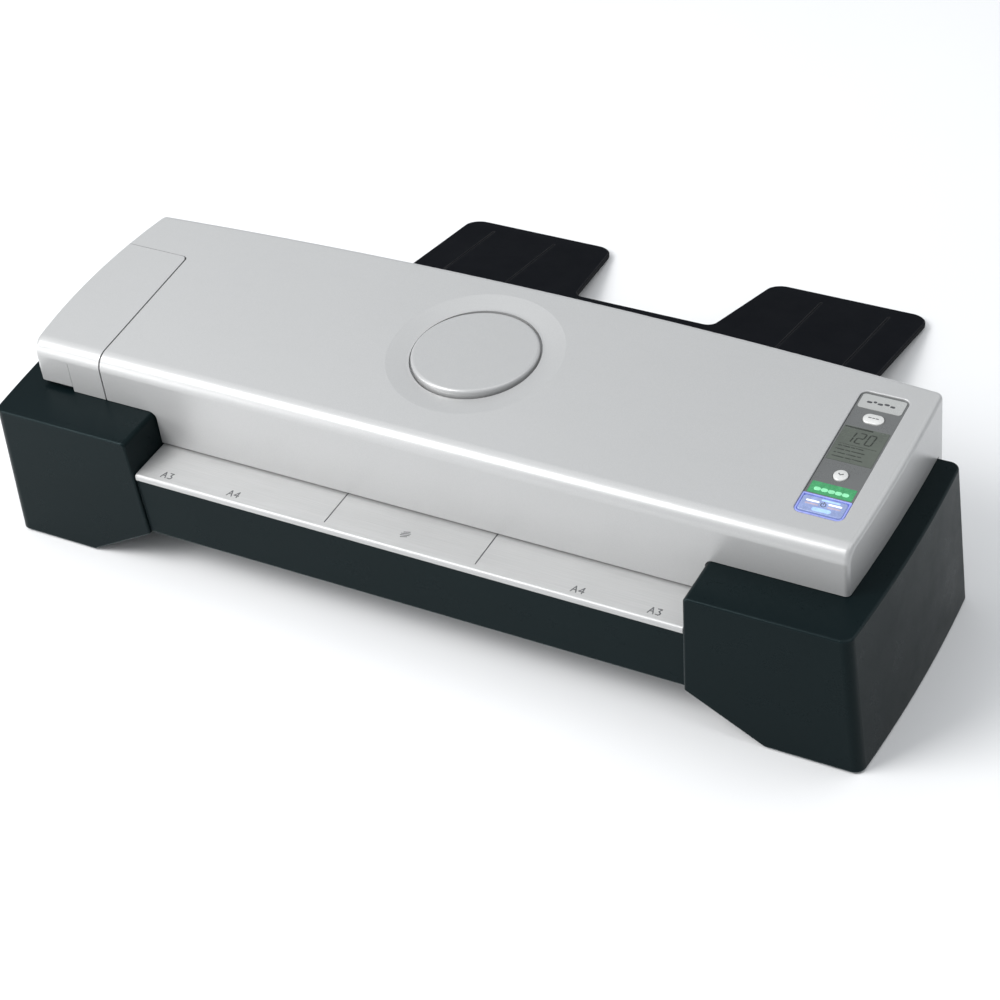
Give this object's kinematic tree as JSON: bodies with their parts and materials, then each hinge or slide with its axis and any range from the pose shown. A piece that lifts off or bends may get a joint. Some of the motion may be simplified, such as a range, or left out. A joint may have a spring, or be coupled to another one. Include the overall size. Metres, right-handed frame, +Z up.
{
  "type": "pouch laminator",
  "caption": "Pouch laminator: a satin silver top cover over dark foot housings, with a feed shelf in front, a control panel at its right end and a sloping delivery tray behind.",
  "frame": {"origin": "on the table, under the centre of the machine with its delivery tray down", "axes": "+X along the machine towards the control panel, +Y towards the delivery side, +Z up"},
  "size_m": [0.5308, 0.368, 0.127],
  "materials": {
    "cover_plastic": "satin pearl silver grey moulded plastic",
    "housing_plastic": "fine textured dark slate moulded plastic",
    "tray_plastic": "near black moulded plastic",
    "shelf_metal": "fine brushed along the shelf",
    "panel_plastic": "smooth dark grey panel",
    "lcd_glass": "grey green display window",
    "label_finish": "plain light plate, no text",
    "ready_green": "lit green lens",
    "rocker_blue": "translucent lit blue",
    "rocker_frame_plastic": "clear blue-tinted moulding",
    "button_silver": "satin silver paint",
    "foot_rubber": "matt",
    "pan_steel": "dark powder coat",
    "frame_steel": "zinc plated",
    "bush_polymer": "dark heat-resistant polymer",
    "gear_nylon": "natural nylon",
    "roller_silicone": "ground silicone rubber",
    "heater_aluminium": "extruded",
    "heating_mat_silicone": "fabric-faced silicone",
    "sensor_parts": "ceramic-filled plastic",
    "motor_metal": "passivated steel cans",
    "board_green": "solder mask",
    "board_parts": "moulded components",
    "inlet_plastic": "black moulded plastic",
    "contact_brass": "plated"
  },
  "bodies": {
    "chassis": {"right_foot_housing": "housing_plastic", "left_foot_housing": "housing_plastic", "rubber_feet": "foot_rubber", "base_screws": "frame_steel", "front_fascia": "housing_plastic", "feed_shelf": "shelf_metal", "base_pan": "pan_steel", "rear_panel": "housing_plastic", "tray_hinge_pins": "frame_steel", "top_cover": "cover_plastic", "left_end_cap": "cover_plastic", "badge_cap": "cover_plastic", "right_side_frame": "frame_steel", "left_side_frame": "frame_steel", "right_bushes": "bush_polymer", "left_bushes": "bush_polymer", "tie_rods": "frame_steel", "frame_screws": "frame_steel", "pressure_springs": "frame_steel", "motor_bracket": "frame_steel", "idler_axle": "frame_steel", "drive_motor": "motor_metal", "upper_heater_plate": "heater_aluminium", "lower_heater_plate": "heater_aluminium", "upper_heating_mat": "heating_mat_silicone", "lower_heating_mat": "heating_mat_silicone", "thermal_cutout": "sensor_parts", "thermistor": "sensor_parts", "control_panel_plate": "panel_plastic", "lcd_window": "lcd_glass", "label_plate": "label_finish", "ready_lens": "ready_green", "button_switches": "bush_polymer", "control_board": "board_green", "rocker_frame": "rocker_frame_plastic", "power_board": "board_green", "board_spacers": "board_parts", "board_components": "board_parts", "power_inlet": "inlet_plastic", "inlet_contacts": "contact_brass"},
    "lower_front_roller": {"lower_front_shaft": "frame_steel", "lower_front_rubber": "roller_silicone", "lower_front_gear": "gear_nylon"},
    "upper_front_roller": {"upper_front_shaft": "frame_steel", "upper_front_rubber": "roller_silicone", "upper_front_gear": "gear_nylon"},
    "lower_rear_roller": {"lower_rear_shaft": "frame_steel", "lower_rear_rubber": "roller_silicone", "lower_rear_gear": "gear_nylon"},
    "upper_rear_roller": {"upper_rear_shaft": "frame_steel", "upper_rear_rubber": "roller_silicone", "upper_rear_gear": "gear_nylon"},
    "idler": {"idler_gear": "gear_nylon"},
    "motor_rotor": {"motor_pinion": "gear_nylon", "motor_shaft": "frame_steel"},
    "mode_button": {"mode_button": "button_silver"},
    "set_button": {"set_button": "button_silver"},
    "power_rocker": {"power_rocker": "rocker_blue"},
    "exit_tray": {"exit_tray": "tray_plastic"}
  },
  "joints": [
    {"name": "lower_front_turn", "type": "hinge", "parent": "chassis", "child": "lower_front_roller", "pos_m": [0, -0.122, 0.0557], "axis": [1, 0, 0], "continuous": true},
    {"name": "upper_front_turn", "type": "hinge", "parent": "chassis", "child": "upper_front_roller", "pos_m": [0, -0.122, 0.0817], "axis": [1, 0, 0], "continuous": true},
    {"name": "lower_rear_turn", "type": "hinge", "parent": "chassis", "child": "lower_rear_roller", "pos_m": [0, -0.066, 0.0557], "axis": [1, 0, 0], "continuous": true},
    {"name": "upper_rear_turn", "type": "hinge", "parent": "chassis", "child": "upper_rear_roller", "pos_m": [0, -0.066, 0.0817], "axis": [1, 0, 0], "continuous": true},
    {"name": "idler_turn", "type": "hinge", "parent": "chassis", "child": "idler", "pos_m": [0, -0.094, 0.0557], "axis": [1, 0, 0], "continuous": true},
    {"name": "motor_turn", "type": "hinge", "parent": "chassis", "child": "motor_rotor", "pos_m": [0, -0.094, 0.0777], "axis": [1, 0, 0], "continuous": true},
    {"name": "mode_button_press", "type": "slide", "parent": "chassis", "child": "mode_button", "axis": [0, 0.0624, -0.998], "range_m": [0, 0.001], "stiffness_N_per_m": 800, "springref_m": -0.001},
    {"name": "set_button_press", "type": "slide", "parent": "chassis", "child": "set_button", "axis": [0, 0.0624, -0.998], "range_m": [0, 0.001], "stiffness_N_per_m": 800, "springref_m": -0.001},
    {"name": "power_rocker_rock", "type": "hinge", "parent": "chassis", "child": "power_rocker", "pos_m": [0, -0.12701, 0.11748], "axis": [1, 0, 0], "range_deg": [0, 8]},
    {"name": "exit_tray_lift", "type": "hinge", "parent": "chassis", "child": "exit_tray", "pos_m": [0, -0.016, 0.044], "axis": [1, 0, 0], "range_deg": [0, 95]}
  ],
  "couplings": [
    {"joint": "upper_front_turn", "follows": "lower_front_turn", "ratio": -1},
    {"joint": "lower_rear_turn", "follows": "lower_front_turn", "ratio": 1},
    {"joint": "upper_rear_turn", "follows": "lower_front_turn", "ratio": -1},
    {"joint": "idler_turn", "follows": "lower_front_turn", "ratio": -0.86667},
    {"joint": "motor_turn", "follows": "lower_front_turn", "ratio": 1.8571}
  ]
}
